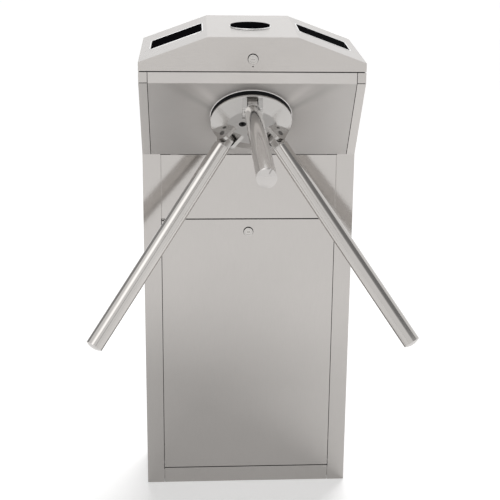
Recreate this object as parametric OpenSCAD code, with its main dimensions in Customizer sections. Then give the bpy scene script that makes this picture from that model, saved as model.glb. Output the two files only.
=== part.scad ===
// Tripod turnstile: a slim stainless cabinet with a hub on its slanted panel, and three arms that fold.
// Millimetres. +Z is up, -Y is the side that people pass, and the floor is at Z = 0.
// The origin is the centre of the anchor holes, on the underside of the base plate.

/* [Cabinet] */
// Width of the cabinet
cabinet_w = 420; // [390:5:480]
// Depth of the pedestal, front to back
pedestal_d = 152; // [146:2:180]
// Height from the floor to the flat top of the lid
cabinet_h = 976; // [956:5:1016]
// How far the head stands out in front of the pedestal
head_reach = 128; // [122:1:134]
// Lean of the slanted panel from the vertical, which is also the lean of the hub axis
tilt = 37.5; // [36.5:0.5:38.5]
// Height of the upright lip above the slanted panel
lip_h = 21; // [18:1:24]
// Thickness of the stainless sheet
sheet = 1.5; // [1.2:0.1:1.8]
// Width of the returns of the side panels, front and back
stile_w = 35; // [32:1:38]
// Width of the narrow returns beside the slanted panel
fold_w = 16; // [12:1:20]
// Gap between neighbouring panels
panel_gap = 1.2; // [0.5:0.1:1.5]
// Height of the slot that parts the upright and the slanted return of a side panel
fold_relief = 1.4; // [0.8:0.2:2]
// Width of the flange by which a panel laps behind a return
lap_w = 18; // [14:1:22]
// Height of the kick strip
kick_h = 33.5; // [30:0.5:38]
// Height of the top edge of the service door
door_top_z = 590; // [570:5:610]
// Gap above and below the service door
door_gap = 2; // [1.5:0.5:3]
// Depth of the folded edge of the service door
door_fold = 14; // [12:1:15]

/* [Base] */
// Thickness of the base plate
base_t = 8; // [6:1:12]
// Spacing of the anchor holes across the width
anchor_x = 340; // [320:5:344]
// Spacing of the anchor holes front to back
anchor_y = 90; // [80:5:100]
// Diameter of an anchor hole
anchor_d = 14; // [12:1:16]
// Diameter of the cable entry inside its grommet
cable_d = 40; // [30:1:46]
// Distance of the cable entry from the centre line
cable_x = 110; // [106:1:114]
// Wall of the cable grommet
grommet_wall = 3; // [2:0.5:4]

/* [Lid] */
// Height of the lid, from the seam to the flat top
lid_h = 64; // [61:1:68]
// Height of the upright edge of the lid, above the seam
lid_edge_h = 17; // [16:1:20]
// Width of the flat top of the lid
lid_flat_w = 164; // [160:2:176]
// Gap under the lid, filled by the gasket
seam_gap = 2; // [1.5:0.5:3]
// Width of the gasket under the lid
gasket_w = 8; // [6:1:9]
// Width of the inner flanges that carry the gasket
rim_w = 14; // [12:1:18]
// Length of a window down the slope of the lid
window_w = 103; // [96:1:106]
// Length of a window front to back
window_d = 100; // [96:2:110]
// Radius of the corners of a window
window_r = 5; // [4:1:10]
// Distance of the windows behind the front of the head
window_back = 144; // [138:1:148]
// Distance of the windows from the middle of the slope, towards the flat top
window_in = 5; // [3:0.5:6]
// Thickness of the window pane
pane_t = 3; // [3:0.5:4]
// Diameter of the round indicator lens
lens_d = 76; // [70:1:82]
// Distance of the lens behind the front of the head
lens_back = 134; // [126:1:140]
// Height of the lens above the lid
lens_t = 3.2; // [1.2:0.4:4]

/* [Locks] */
// Diameter of the face of a lock
lock_d = 18; // [17:1:20]
// Diameter of the turning barrel
barrel_d = 12; // [11:0.5:13]
// Depth of a lock behind the sheet
lock_depth = 24; // [23:1:26]
// Height of the lid lock above the lid seam
lid_lock_up = 23.5; // [22:0.5:26]
// Distance of the door lock below the top edge of the door
door_lock_down = 27; // [25:0.5:28]
// Reach of a lock cam from the centre of its barrel
cam_reach = 32; // [31:1:34]

/* [Hub] */
// Distance of the hub axis up the slanted panel, from its foot
hub_up = 114; // [108:1:118]
// Diameter of the hub
hub_d = 155; // [151:1:158]
// Thickness of the hub's rim edge
hub_edge = 3.5; // [3:0.5:4.5]
// Height of the rim edge's underside above the slanted panel
hub_lift = 11; // [10:0.5:12]
// Height of the flat nose of the hub above the rim edge's underside
hub_rise = 15; // [13:0.5:16]
// Diameter of the flat nose of the hub
nose_d = 96; // [88:2:100]
// Distance of a hinge pin from the hub axis
pin_r = 53; // [51:0.5:54]
// Height of a hinge pin above the slanted panel
pin_lift = 31; // [30.5:0.5:33]
// Diameter of a hinge pin
pin_d = 10; // [9:0.5:11]
// Width over the two ears of a clevis
clevis_w = 38; // [36:1:42]
// Gap between the two ears of a clevis
clevis_gap = 21; // [19:0.5:22]
// Radius of an ear around its pin
ear_r = 13; // [12:0.5:13.5]
// Outer diameter of the black seal under the hub
seal_d = 152; // [146:1:154]

/* [Arms] */
// Length of an arm, from its hinge pin to the end of its cap
arm_len = 470; // [380:5:520]
// Outer diameter of an arm
arm_d = 32; // [30:1:33]
// Wall of an arm tube
arm_wall = 1.5; // [1:0.1:2.5]
// Distance from the hinge pin to the start of the tube
tube_start = 21; // [20:0.5:24]
// Width of the tongue between the ears
tongue_w = 18; // [16:0.5:18.5]
// Radius of the eye of the tongue
eye_r = 11; // [9.5:0.5:11]
// Thickness of the end cap at its edge
cap_t = 1; // [0.5:0.5:3]
// Height of the dome of the end cap
cap_crown = 4.5; // [3:0.5:6]

/* [Mechanism] */
// Diameter of the main shaft
shaft_d = 30; // [28:1:32]
// Outer diameter of a bearing
bearing_d = 62; // [58:1:64]
// Width of a bearing
bearing_w = 16; // [14:1:18]
// Thickness of the two mechanism plates
plate_t = 8; // [7:0.5:9]
// Distance between the outer faces of the mechanism plates
mech_depth = 94; // [92:1:98]
// Module of the gear teeth
gear_module = 1.5; // [1.4:0.05:1.5]
// Teeth of the shaft gear
gear_teeth = 60; // [57:3:60]
// Teeth of the crank pinion
pinion_teeth = 20; // [19:1:20]
// Width of the shaft gear
gear_w = 10; // [8:1:11]
// Radius of the index disc
index_r = 42; // [40:0.5:42]
// Depth of a notch in the index disc
notch_depth = 7; // [6:0.5:8]
// Diameter of a lock bolt
bolt_d = 8; // [7:0.5:8.5]
// Free space between a lock bolt and the index disc at rest
bolt_rest = 1.5; // [1:0.5:2]
// Radius of the circle of the centring crank pin
crank_r = 10; // [8:1:11]

/* [Hidden] */
$fn = 64;

// Colours of the finishes
steel = [0.74, 0.73, 0.71];
mirror_steel = [0.62, 0.62, 0.61];
bright = [0.86, 0.86, 0.85];
cast = [0.70, 0.70, 0.69];
zinc = [0.66, 0.67, 0.66];
black = [0.05, 0.05, 0.06];
board_green = [0.10, 0.34, 0.20];

// Running clearances
run = 0.05;
loose = 0.3;
touch = 0.02;

// Main lines of the side view
front_y = -pedestal_d / 2;
back_y = pedestal_d / 2;
head_y = front_y - head_reach;
seam_z = cabinet_h - lid_h;
rim_z = seam_z - seam_gap / 2;
lid_z = seam_z + seam_gap / 2;
lip_z = seam_z - lip_h;
foot_z = lip_z - head_reach / tan(tilt);
half_w = cabinet_w / 2;
stile_in = half_w - stile_w;
fold_in = half_w - fold_w;

// Hub axis where it meets the outer face of the slanted panel
hub_y = front_y - hub_up * sin(tilt);
hub_z = foot_z + hub_up * cos(tilt);

// The arms lean from the hub axis as much as the axis leans, so that the top arm lies level
arm_cone = tilt;

// Plan helpers: a closed outline, moved inwards by one distance
function left_of(p, q) = [p[1] - q[1], q[0] - p[0]] / norm(q - p);
function crossing(p, u, q, v) = p + u * cross(q - p, v) / cross(u, v);
function inset(pts, s) = [
    for (i = [0 : len(pts) - 1])
        let (a = pts[(i + len(pts) - 1) % len(pts)], b = pts[i], c = pts[(i + 1) % len(pts)])
            crossing(a + s * left_of(a, b), b - a, b + s * left_of(b, c), c - b)
];

// Side view of the cabinet below the lid, as Y and Z
side_outline = [
    [front_y, 0],
    [back_y, 0],
    [back_y, rim_z],
    [head_y, rim_z],
    [head_y, lip_z],
    [front_y, foot_z]
];

// Front view of the lid, as X and Z
lid_outline = [
    [-half_w, lid_z],
    [half_w, lid_z],
    [half_w, seam_z + lid_edge_h],
    [lid_flat_w / 2, cabinet_h],
    [-lid_flat_w / 2, cabinet_h],
    [-half_w, seam_z + lid_edge_h]
];
lid_slope = atan((lid_h - lid_edge_h) / (half_w - lid_flat_w / 2));
lid_slope_len = norm([half_w - lid_flat_w / 2, lid_h - lid_edge_h]);

// Extrudes a shape drawn in Y and Z from x0 towards +X
module along_x(x0, w) {
    translate([x0, 0, 0]) rotate([90, 0, 90]) linear_extrude(w) children();
}

// Extrudes a shape drawn in X and Z from y0 towards +Y
module along_y(y0, w) {
    translate([0, y0 + w, 0]) rotate([90, 0, 0]) linear_extrude(w) children();
}

// A box from its low corner to its high corner
module span(low, high) {
    translate(low) cube(high - low);
}

// A rod along Z from z0 to z1
module rod(d, z0, z1) {
    translate([0, 0, z0]) cylinder(d = d, h = z1 - z0);
}

// A ring along Z from z0 to z1
module ring(d_out, d_in, z0, z1) {
    translate([0, 0, z0]) difference() {
        cylinder(d = d_out, h = z1 - z0);
        translate([0, 0, -1]) cylinder(d = d_in, h = z1 - z0 + 2);
    }
}

// A rod along X from x0 to x1
module rod_x(d, x0, x1) {
    translate([x0, 0, 0]) rotate([0, 90, 0]) cylinder(d = d, h = x1 - x0);
}

// Places its children on the hub axis: Z outwards, Y up the slanted panel, X across
module on_hub() {
    translate([0, hub_y, hub_z]) rotate([90 + tilt, 0, 0]) children();
}

// Places its children at one of the three arm places, on the hub axis
module at_place(i) {
    on_hub() rotate([0, 0, 120 * i]) children();
}

// Places its children at the hinge pin of arm i, with Z along the arm and X along the pin
module on_arm(i) {
    at_place(i) translate([0, pin_r, pin_lift]) rotate([-arm_cone, 0, 0]) children();
}

// Base: plate, cable entry

base_x = half_w - sheet;
base_y = pedestal_d / 2 - sheet;
base_screw_x = half_w - sheet - 13;
base_screw_y = 55;
screw_d = 5;
screw_head_d = 9;
screw_head_t = 2.5;
base_flange_w = 25;

module base_plate() {
    color(zinc) difference() {
        span([-base_x, -base_y, 0], [base_x, base_y, base_t]);
        for (sx = [-1, 1], sy = [-1, 1])
            translate([sx * anchor_x / 2, sy * anchor_y / 2, -1]) cylinder(d = anchor_d, h = base_t + 2);
        for (sx = [-1, 1], sy = [-1, 1])
            translate([sx * base_screw_x, sy * base_screw_y, -1]) cylinder(d = screw_d, h = base_t + 2);
        translate([cable_x, 0, -1]) cylinder(d = cable_d + 2 * grommet_wall, h = base_t + 2);
    }
}

module cable_grommet() {
    lip = 3;
    color(black) translate([cable_x, 0, 0]) difference() {
        union() {
            rod(cable_d + 2 * grommet_wall, 0.5, base_t + lip);
            rod(cable_d + 2 * grommet_wall + 2 * lip, base_t, base_t + lip);
        }
        translate([0, 0, -1]) cylinder(d = cable_d, h = base_t + lip + 2);
    }
}

// Cabinet panels

screw_low = base_t + 62;
screw_high = rim_z - 51;
screw_rows = [for (i = [0 : 3]) screw_low + i * (screw_high - screw_low) / 3];
screw_x = half_w - stile_w + lap_w / 2;

module sheet_ring() {
    difference() {
        polygon(side_outline);
        polygon(inset(side_outline, sheet));
    }
}

// One side panel, drawn for the right-hand side
module side_panel() {
    color(steel) difference() {
        union() {
            along_x(half_w - sheet, sheet) polygon(side_outline);
            along_x(fold_in, fold_w - sheet / 2) intersection() {
                sheet_ring();
                translate([head_y, base_t]) square([pedestal_d + head_reach, rim_z - base_t]);
            }
            for (y = [front_y, back_y - sheet])
                span([stile_in, y, 0], [half_w - sheet / 2, y + sheet, y < 0 ? foot_z : rim_z]);
            span([half_w - base_flange_w, front_y + sheet / 2, base_t],
                [half_w - sheet / 2, back_y - sheet / 2, base_t + sheet]);
        }
        span([fold_in - 1, head_y - 1, lip_z - fold_relief / 2],
            [half_w - sheet, head_y + 2 * sheet, lip_z + fold_relief / 2]);
        for (z = screw_rows)
            translate([screw_x, back_y + 1, z]) rotate([90, 0, 0]) cylinder(d = screw_d, h = sheet + 2);
        for (sy = [-1, 1])
            translate([base_screw_x, sy * base_screw_y, base_t - 1]) cylinder(d = screw_d, h = sheet + 2);
    }
}

module left_side() {
    mirror([1, 0, 0]) side_panel();
}

module right_side() {
    side_panel();
}

// A flat panel between two returns, with laps behind them, from z0 to z1
module flush_panel(y_out, inward, z0, z1) {
    face = y_out + inward * sheet;
    back = face + inward * sheet;
    plate_x = stile_in - panel_gap;
    span([-plate_x, min(y_out, face), z0], [plate_x, max(y_out, face), z1]);
    for (sx = [0, 1])
        mirror([sx, 0, 0])
            span([plate_x - 7, min(face, back), z0], [stile_in + lap_w - 1, max(face, back), z1]);
}

back_z0 = base_t + sheet;
rim_return = 19;

module back_panel() {
    color(steel) difference() {
        union() {
            flush_panel(back_y, -1, back_z0, rim_z);
            span([-fold_in + panel_gap, back_y - rim_return, rim_z - sheet],
                [fold_in - panel_gap, back_y - sheet, rim_z]);
        }
        for (sx = [-1, 1], z = screw_rows)
            translate([sx * screw_x, back_y, z]) rotate([90, 0, 0]) cylinder(d = screw_d, h = 3 * sheet);
    }
}

// Height of the keeper behind the top of the door
keeper_h = 13;

module front_panel() {
    z0 = door_top_z + door_gap / 2;
    y0 = front_y + keeper_in - sheet;
    color(steel) {
        flush_panel(front_y, 1, z0, foot_z - panel_gap);
        span([-stile_in + 20, front_y + sheet / 2, z0], [stile_in - 20, y0 + sheet, z0 + sheet]);
        span([-40, y0, z0 - keeper_h], [40, y0 + sheet, z0 + sheet / 2]);
    }
}

module kick_strip() {
    color(steel) {
        flush_panel(front_y, 1, base_t + sheet, kick_h - 3);
        span([-stile_in + panel_gap, front_y, 0], [stile_in - panel_gap, front_y + sheet, kick_h]);
    }
}

hub_opening = 90;
stud_x = 84;
stud_rows = [-50, 62];
stud_d = 8;

// Foot of the slanted panel: a strip lapped behind it and behind the panel below
foot_lap = [
    [front_y + sheet, foot_z - 25],
    [front_y + 2 * sheet, foot_z - 25],
    [front_y + 2 * sheet, foot_z + 2 * sheet * tan(tilt / 2)],
    [front_y + 2 * sheet - 12 * sin(tilt), foot_z + 2 * sheet * tan(tilt / 2) + 12 * cos(tilt)],
    [front_y + sheet - 12 * sin(tilt), foot_z + sheet * tan(tilt / 2) + 12 * cos(tilt)],
    [front_y + sheet, foot_z + sheet * tan(tilt / 2)]
];

// The slanted panel and its lip are one folded sheet, with welded studs behind
module hub_panel() {
    color(mirror_steel) difference() {
        union() {
            along_x(-fold_in + panel_gap, 2 * (fold_in - panel_gap)) intersection() {
                sheet_ring();
                polygon([
                    [head_y, rim_z],
                    [head_y, lip_z],
                    [front_y, foot_z],
                    [front_y + 2 * sheet, foot_z + 2 * sheet * tan(tilt / 2)],
                    [head_y + keeper_in, rim_z - 2 * sheet],
                    [head_y + keeper_in, rim_z]
                ]);
            }
            span([-60, head_y + keeper_in - sheet, rim_z - 16], [60, head_y + keeper_in, rim_z - sheet / 2]);
            along_x(-stile_in + 20, 2 * (stile_in - 20)) polygon(foot_lap);
            for (sx = [-1, 1], y = stud_rows)
                on_hub() translate([sx * stud_x, y, 0]) rod(stud_d, -sheet - plate_t - 9, -sheet / 2);
        }
        on_hub() translate([0, 0, -sheet - 5]) cylinder(d = hub_opening, h = sheet + 10);
    }
}

module screw(head_d, head_t, d, len) {
    rod(head_d, 0, head_t);
    rod(d - 2 * touch, -len, head_t / 2);
}

// Screws of the back panel and of the base
module cabinet_screws() {
    color(bright) {
        for (sx = [-1, 1], z = screw_rows)
            translate([sx * screw_x, back_y, z]) rotate([-90, 0, 0])
                screw(screw_head_d, screw_head_t, screw_d, 2 * sheet + 6);
        for (sx = [-1, 1], sy = [-1, 1])
            translate([sx * base_screw_x, sy * base_screw_y, base_t + sheet])
                screw(screw_head_d, screw_head_t, screw_d, base_t + sheet - 1);
    }
}

gasket_edge = 3;

module lid_gasket() {
    color(black) difference() {
        span([-half_w + gasket_edge, head_y + gasket_edge, rim_z],
            [half_w - gasket_edge, back_y - gasket_edge, lid_z]);
        span([-half_w + gasket_edge + gasket_w, head_y + gasket_edge + gasket_w, rim_z - 1],
            [half_w - gasket_edge - gasket_w, back_y - gasket_edge - gasket_w, lid_z + 1]);
    }
}

// Locks: a body fixed in the sheet, and a barrel that turns with its cam

lock_wall_d = barrel_d + 4;
lock_face_t = 2.5;
cam_t = 3;
cam_w = 12;

// Distance of the back of a keeper behind the outer face of its sheet, just in front of the cam
keeper_in = lock_depth + loose - 2;

// Drawn with the sheet's outer face at Y = 0 and -Y outwards
module lock_body() {
    rotate([90, 0, 0]) difference() {
        union() {
            rod(lock_d, 0, lock_face_t);
            rod(lock_wall_d, -lock_depth, lock_face_t / 2);
            rod(lock_d + 2, -sheet - 4, -sheet);
        }
        rod(barrel_d + 2 * run, -lock_depth - 1, lock_face_t + 1);
    }
}

module lock_barrel() {
    slot_w = 7;
    slot_h = 1.4;
    rotate([90, 0, 0]) {
        difference() {
            rod(barrel_d, -lock_depth - loose - cam_t, lock_face_t - 1);
            span([-slot_w / 2, -slot_h / 2, lock_face_t - 4], [slot_w / 2, slot_h / 2, lock_face_t]);
        }
        span([0, -cam_w / 2, -lock_depth - loose - cam_t], [cam_reach, cam_w / 2, -lock_depth - loose]);
    }
}

door_lock_z = door_top_z - door_lock_down;
lid_lock_z = seam_z + lid_lock_up;

module door_lock_body() {
    color(bright) translate([0, front_y, door_lock_z]) lock_body();
}

module door_lock_barrel() {
    color(bright) translate([0, front_y, door_lock_z]) lock_barrel();
}

module lid_lock_body() {
    color(bright) translate([0, head_y, lid_lock_z]) lock_body();
}

module lid_lock_barrel() {
    color(bright) translate([0, head_y, lid_lock_z]) lock_barrel();
}

// Service door, hinged at its lower corners

door_bottom_z = kick_h + door_gap;
door_half = stile_in - panel_gap;
door_axis_y = front_y + 8;
door_axis_z = door_bottom_z + 8;
door_pin_d = 6;
bracket_t = 3;

module service_door() {
    top = door_top_z - door_gap / 2;
    color(steel) difference() {
        span([-door_half, front_y, door_bottom_z], [door_half, front_y + sheet + door_fold, top]);
        span([-door_half + sheet, front_y + sheet, door_bottom_z + sheet],
            [door_half - sheet, front_y + sheet + door_fold + 1, top - sheet]);
        span([-door_half - 1, front_y - 1, top - 3], [-door_half + 5, front_y + sheet + 3, top + 1]);
        translate([0, front_y - 1, door_lock_z]) rotate([-90, 0, 0])
            cylinder(d = lock_wall_d + 2 * touch, h = sheet + 2);
        for (sx = [-1, 1])
            translate([sx * door_half, door_axis_y, door_axis_z])
                rod_x(door_pin_d + 2 * run, -4, 4);
    }
}

// Plates on the side panels that hold the pins of the door
module door_hinge_brackets() {
    color(zinc) for (sx = [-1, 1])
        difference() {
            translate([sx * (stile_in + 4.5), front_y + sheet, kick_h])
                span([-bracket_t / 2, 0, 0], [bracket_t / 2, 18, 24]);
            translate([sx * (stile_in + 4.5), door_axis_y, door_axis_z])
                rod_x(door_pin_d, -bracket_t, bracket_t);
        }
}

module door_hinge_pins() {
    color(bright) for (sx = [-1, 1])
        translate([sx * (stile_in + 1), door_axis_y, door_axis_z])
            rod_x(door_pin_d - 2 * touch, -5.5, 5.5);
}

// Lid and what it carries

// Places its children on the slope of the lid, right-hand side, with Z outwards and Y to the back
module on_slope() {
    translate([lid_flat_w / 2, head_y + window_back, cabinet_h]) rotate([0, lid_slope, 0])
        translate([lid_slope_len / 2 - window_in, 0, 0]) children();
}

// A plate with round corners, centred, from z0 to z1
module round_plate(w, d, r, z0, z1) {
    span([-w / 2 + r, -d / 2, z0], [w / 2 - r, d / 2, z1]);
    span([-w / 2, -d / 2 + r, z0], [w / 2, d / 2 - r, z1]);
    for (sx = [-1, 1], sy = [-1, 1])
        translate([sx * (w / 2 - r), sy * (d / 2 - r), 0]) rod(2 * r, z0, z1);
}

lens_y = head_y + lens_back;
lens_neck_d = lens_d - 10;
window_fit = 0.4;

module lid_side_openings() {
    on_slope() round_plate(window_w, window_d, window_r, -sheet - 2, 2);
}

module lid() {
    d = pedestal_d + head_reach;
    color(steel) difference() {
        along_y(head_y, d) polygon(lid_outline);
        along_y(head_y + sheet, d - 2 * sheet) polygon(inset(lid_outline, sheet));
        span([-half_w + rim_w, head_y + rim_w, lid_z - 1],
            [half_w - rim_w, back_y - rim_w, lid_z + 2 * sheet]);
        lid_side_openings();
        mirror([1, 0, 0]) lid_side_openings();
        translate([0, lens_y, cabinet_h]) rod(lens_neck_d + 2 * window_fit, -2 * sheet, sheet);
        translate([0, head_y - 1, lid_lock_z]) rotate([-90, 0, 0])
            cylinder(d = lock_wall_d + 2 * touch, h = sheet + 2);
    }
}

// Black panes, each with a wider flange glued behind the sheet
module lid_windows() {
    proud = 0.4;
    lap = 5;
    color(black) for (sx = [0, 1])
        mirror([sx, 0, 0]) on_slope() {
            round_plate(window_w - 2 * window_fit, window_d - 2 * window_fit, window_r - window_fit,
                -sheet, proud);
            round_plate(window_w + 2 * lap, window_d + 2 * lap, window_r + lap, -sheet - pane_t, -sheet);
        }
}

reader_w = 86;
reader_t = 14;

// Card readers glued under the panes, each a case with a raised coil former
module card_readers() {
    z0 = -sheet - pane_t;
    color(black) for (sx = [0, 1])
        mirror([sx, 0, 0]) on_slope() {
            round_plate(reader_w, reader_w, 6, z0 - reader_t, z0);
            span([-32, -20, z0 - reader_t - 5], [-8, 20, z0 - reader_t]);
        }
}

lens_leg = 8;

module indicator_lens() {
    color(black) translate([0, lens_y, cabinet_h]) {
        rod(lens_d, 0, lens_t);
        ring(lens_neck_d, lens_neck_d - 6, -lens_leg, lens_t / 2);
    }
}

module indicator_board() {
    leds = 12;
    color(board_green) translate([0, lens_y, cabinet_h - lens_leg]) {
        rod(lens_neck_d, -1.6, 0);
        for (i = [0 : leds - 1])
            rotate([0, 0, i * 360 / leds]) translate([lens_neck_d / 2 - 9, 0, 0])
                span([-2.5, -2.5, -0.5], [2.5, 2.5, 1.6]);
        span([-8, -5, -9], [8, 5, -1.6]);
    }
}

// Two butt hinges behind the lid

hinge_x = 130;
hinge_half = 22;
knuckle_d = 8;
hinge_pin_d = 4;
hinge_leaf_t = 1.5;
hinge_in = knuckle_d / 2 + 0.5;
hinge_axis_y = back_y + hinge_in;
knuckle_part = 14;

module knuckle(x0, x1) {
    difference() {
        rod_x(knuckle_d, x0, x1);
        rod_x(hinge_pin_d + 2 * run, x0 - 1, x1 + 1);
    }
}

// Fixed leaves, on the back panel
module lid_hinge_leaves() {
    color(zinc) for (sx = [-1, 1])
        translate([sx * hinge_x, hinge_axis_y, seam_z]) {
            for (x0 = [-hinge_half, hinge_half - knuckle_part])
                difference() {
                    union() {
                        knuckle(x0, x0 + knuckle_part);
                        span([x0, -hinge_in, -26], [x0 + knuckle_part, -hinge_in + hinge_leaf_t, 0]);
                    }
                    rod_x(hinge_pin_d + 2 * run, x0 - 1, x0 + knuckle_part + 1);
                }
            span([-hinge_half, -hinge_in, -26], [hinge_half, -hinge_in + hinge_leaf_t, -6]);
        }
}

// Moving leaves, on the back of the lid
module lid_hinge_straps() {
    half = hinge_half - knuckle_part - loose;
    color(zinc) for (sx = [-1, 1])
        translate([sx * hinge_x, hinge_axis_y, seam_z]) {
            difference() {
                union() {
                    knuckle(-half, half);
                    span([-half, -hinge_in, 0], [half, -hinge_in + hinge_leaf_t, 15]);
                }
                rod_x(hinge_pin_d + 2 * run, -half - 1, half + 1);
            }
            span([-hinge_half, -hinge_in, 6], [hinge_half, -hinge_in + hinge_leaf_t, 15]);
        }
}

module lid_hinge_pins() {
    color(bright) for (sx = [-1, 1])
        translate([sx * hinge_x, hinge_axis_y, seam_z]) rod_x(hinge_pin_d, -hinge_half - 1, hinge_half + 1);
}

// Hub: everything in front of the slanted panel that turns, and the ring round it

hub_ring_d = hub_d + 2;
hub_ring_t = 1.5;
flange_d = 72;
slot_floor = pin_lift - eye_r - loose;
bolt_circle_r = 20;
hub_bolt_d = 8;
hub_bolt_head_d = 13;
hub_bolt_head_t = 8;
nose_z = hub_lift + hub_rise;
rim_front_z = hub_lift + hub_edge;

module hub_ring() {
    color(bright) on_hub() rotate_extrude($fn = 128)
        polygon([
            [hub_opening / 2 - 2, 0],
            [hub_ring_d / 2, 0],
            [hub_ring_d / 2, hub_ring_t - 0.7],
            [hub_ring_d / 2 - 0.7, hub_ring_t],
            [hub_opening / 2 - 2, hub_ring_t]
        ]);
}

module hub_seal() {
    color(black) on_hub() ring(seal_d, flange_d + 2, hub_ring_t + loose, hub_lift);
}

// Point just inside the round top of an ear, where a line from p, turned to the side s, meets it
function ear_touch(p, s) =
    let (r = ear_r - 0.4, q = p - [pin_r, pin_lift], a = atan2(q[1], q[0]) + s * acos(r / norm(q)))
        [pin_r, pin_lift] + r * [cos(a), sin(a)];

// Outline of one ear, as distance from the hub axis and height above the panel
ear_in = [26, nose_z];
ear_out = [hub_d / 2 - 6, hub_lift + 10];
ear_end = hub_d / 2 - 3.5;
ear_outline = [
    [26, nose_z - 4],
    ear_in,
    ear_touch(ear_in, -1),
    ear_touch(ear_out, 1),
    ear_out,
    [ear_end, rim_front_z],
    [ear_end, hub_lift + 1],
    [40, hub_lift + 1]
];

module ear_pair() {
    for (x0 = [-clevis_w / 2, clevis_gap / 2])
        along_x(x0, (clevis_w - clevis_gap) / 2) {
            polygon(ear_outline);
            translate([pin_r, pin_lift]) circle(r = ear_r);
        }
}

module hub_body() {
    color(cast) on_hub() difference() {
        union() {
            rotate_extrude($fn = 128) polygon([
                [0, hub_lift],
                [hub_d / 2, hub_lift],
                [hub_d / 2, rim_front_z - 0.8],
                [hub_d / 2 - 0.8, rim_front_z],
                [nose_d / 2, nose_z],
                [0, nose_z]
            ]);
            for (i = [0 : 2])
                rotate([0, 0, 120 * i]) ear_pair();
        }
        for (i = [0 : 2])
            rotate([0, 0, 120 * i]) {
                span([-clevis_gap / 2, pin_r - eye_r - 2, slot_floor],
                    [clevis_gap / 2, hub_d / 2 + 1, nose_z + 30]);
                translate([0, pin_r, pin_lift]) rod_x(pin_d, -clevis_w, clevis_w);
            }
        for (i = [0 : 2])
            rotate([0, 0, 30 + 120 * i]) translate([bolt_circle_r, 0, 0]) {
                rod(hub_bolt_head_d + 1, nose_z - hub_bolt_head_t, nose_z + 1);
                rod(hub_bolt_d, hub_lift - 1, nose_z);
            }
    }
}

module hub_bolts() {
    color(zinc) on_hub() for (i = [0 : 2])
        rotate([0, 0, 30 + 120 * i]) translate([bolt_circle_r, 0, 0]) difference() {
            union() {
                rod(hub_bolt_head_d, nose_z - hub_bolt_head_t, nose_z - 0.5);
                rod(hub_bolt_d - 2 * touch, hub_ring_t + 3, nose_z - hub_bolt_head_t + 1);
            }
            translate([0, 0, nose_z - 5]) cylinder(d = 7, h = 6, $fn = 6);
        }
}

module arm_pins() {
    color(bright) for (i = [0 : 2])
        at_place(i) translate([0, pin_r, pin_lift])
            rod_x(pin_d - 2 * touch, -clevis_w / 2 + 1.5, clevis_w / 2 - 1.5);
}

// Arms

spigot_len = 35;
tube_in_d = arm_d - 2 * arm_wall;
cap_z = arm_len - cap_crown - cap_t;
cap_plug = 12;
arm_collar = 3;
heel_len = 17;
neck_half = eye_r - 0.5;

// Tongue: an eye on the pin, a heel that stops the arm, a collar and a spigot inside the tube
module arm_tongue(i) {
    color(cast) on_arm(i) difference() {
        union() {
            along_x(-tongue_w / 2, tongue_w) intersection() {
                union() {
                    circle(eye_r);
                    translate([-neck_half, 0]) square([2 * neck_half, tube_start]);
                    rotate(arm_cone) translate([0, -neck_half]) square([heel_len, 2 * neck_half - 3]);
                }
                translate([-2 * eye_r, -2 * eye_r]) square([4 * eye_r, 2 * eye_r + tube_start - 1]);
            }
            rod(arm_d, tube_start - arm_collar, tube_start);
            rod(tube_in_d - 2 * touch, tube_start - 1, tube_start + spigot_len);
        }
        rod_x(pin_d + 2 * run, -tongue_w, tongue_w);
    }
}

module arm_tube(i) {
    color(steel) on_arm(i) ring(arm_d, tube_in_d, tube_start, cap_z);
}

// A domed cap with a plug that sits in the tube
module arm_cap(i) {
    dome_r = (pow(arm_d / 2, 2) + pow(cap_crown, 2)) / (2 * cap_crown);
    dome_half = asin(arm_d / 2 / dome_r);
    steps = 12;
    color(bright) on_arm(i) {
        rotate_extrude() polygon([
            [0, cap_z],
            [arm_d / 2, cap_z],
            for (k = [steps : -1 : 0])
                let (a = dome_half * k / steps) [dome_r * sin(a), arm_len - dome_r + dome_r * cos(a)]
        ]);
        rod(tube_in_d - 2 * touch, cap_z - cap_plug, cap_z + cap_t / 2);
    }
}

module arm_1_tongue() {
    arm_tongue(0);
}

module arm_1_tube() {
    arm_tube(0);
}

module arm_1_cap() {
    arm_cap(0);
}

module arm_2_tongue() {
    arm_tongue(1);
}

module arm_2_tube() {
    arm_tube(1);
}

module arm_2_cap() {
    arm_cap(1);
}

module arm_3_tongue() {
    arm_tongue(2);
}

module arm_3_tube() {
    arm_tube(2);
}

module arm_3_cap() {
    arm_cap(2);
}

// Mechanism behind the slanted panel; heights are measured along the hub axis, negative inside

plate_front = -sheet;
plate_back = -sheet - mech_depth;
front_boss = plate_front - plate_t - bearing_w - 1;
rear_boss = plate_back + plate_t + 14;
boss_d = bearing_d + 16;
shoulder_d = bearing_d - 14;
mech_half = 96;
mech_low = -86;
front_high = 76;
post_x = 84;
post_rows = [-72, 40];
post_d = 12;
post_bolt_d = 6;
rear_high = post_rows[1] + 14;
gear_z = front_boss - 3 - gear_w;
index_t = 8;
index_z = gear_z - 8 - index_t;
index_mid = index_z + index_t / 2;
gear_pitch_r = gear_module * gear_teeth / 2;
pinion_pitch_r = gear_module * pinion_teeth / 2;
crank_y = -gear_pitch_r - pinion_pitch_r;
spindle_d = 10;
damper_t = 16;
damper_d = 40;
spring_x = 62;
spring_post_d = 6;
crank_disc_t = 5;
crank_pin_d = 5;
crank_z = gear_z - 3 - crank_disc_t;
spring_z = crank_z - 4.5;
yoke_in = 56;
yoke_out = 90;
yoke_half = 14;
yoke_t = 3;

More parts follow.
